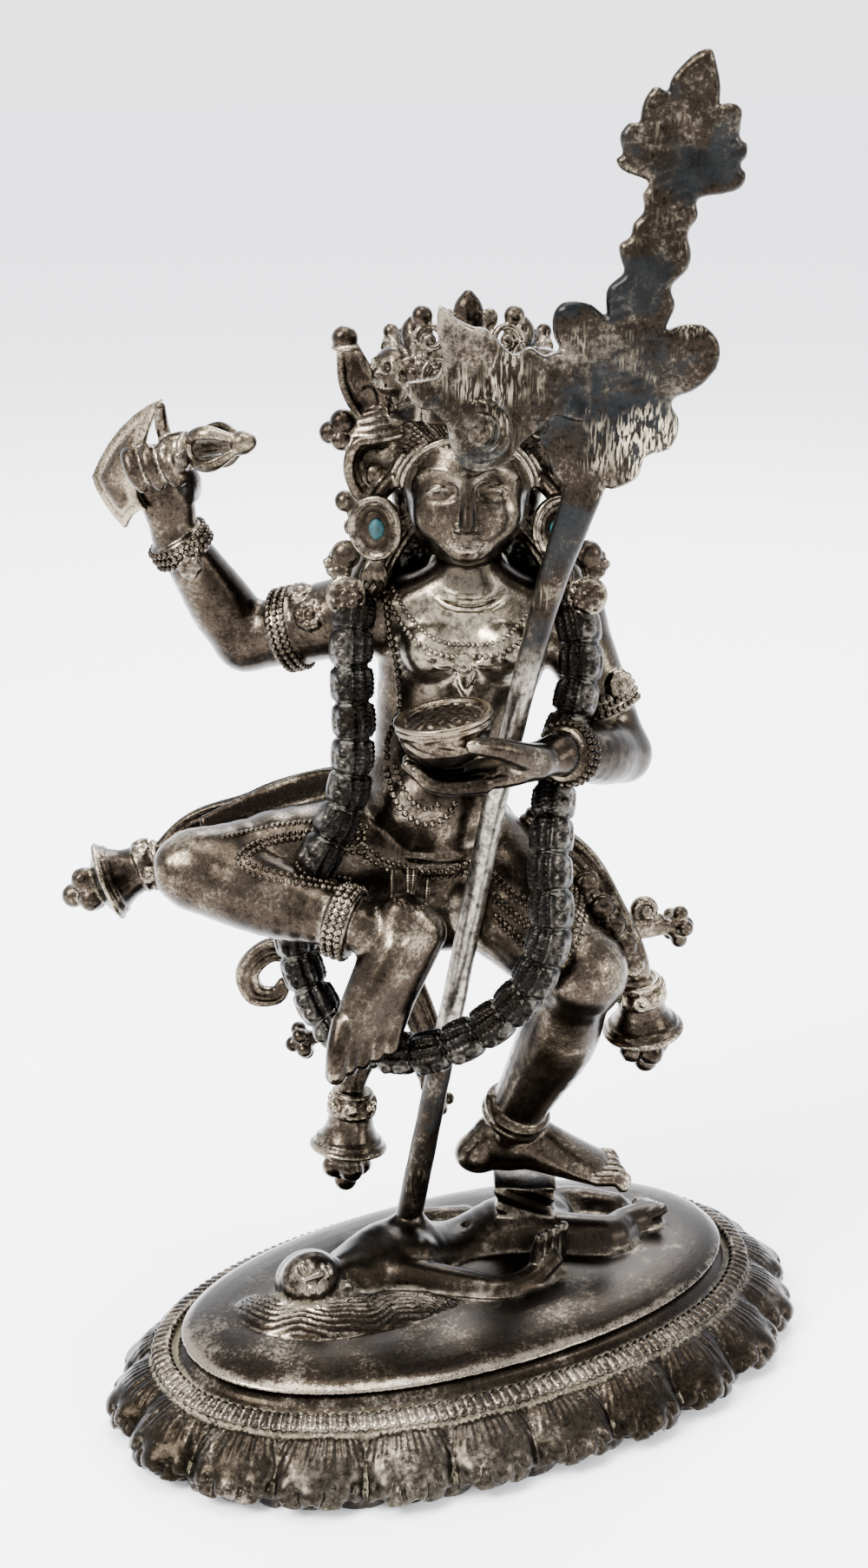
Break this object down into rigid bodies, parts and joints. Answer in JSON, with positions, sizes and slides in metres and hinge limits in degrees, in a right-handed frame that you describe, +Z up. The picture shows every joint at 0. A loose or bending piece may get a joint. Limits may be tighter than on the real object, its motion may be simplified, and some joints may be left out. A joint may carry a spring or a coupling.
{
  "type": "protector deity figure",
  "caption": "Silver image of a dancing protector deity with knife, skull cup, staff and garland of heads, on a trampled figure over an oval lotus base; stands on its underside.",
  "frame": {"origin": "on the flat underside of the base, below the middle of the plinth's oval", "axes": "+X along the base's long axis, towards the dancer's left; +Y towards the back of the base; +Z up"},
  "size_m": [0.1156, 0.0813, 0.2004],
  "materials": {
    "base_silver": "tarnished silver, worn bright on the petals",
    "figure_silver": "tarnished silver, half polished by handling",
    "staff_silver": "filed silver with brown and blue-black tarnish",
    "knife_silver": "tarnished silver",
    "cup_silver": "tarnished silver",
    "garland_metal": "blackened cast metal, dusty in the recesses",
    "turquoise": "polished stone"
  },
  "bodies": {
    "root": {"lotus_base": "base_silver", "dancing_figure": "figure_silver", "ritual_staff": "staff_silver", "flaying_knife": "knife_silver", "skull_cup": "cup_silver", "garland_of_heads": "garland_metal", "turquoise_right": "turquoise", "turquoise_left": "turquoise"}
  },
  "joints": []
}
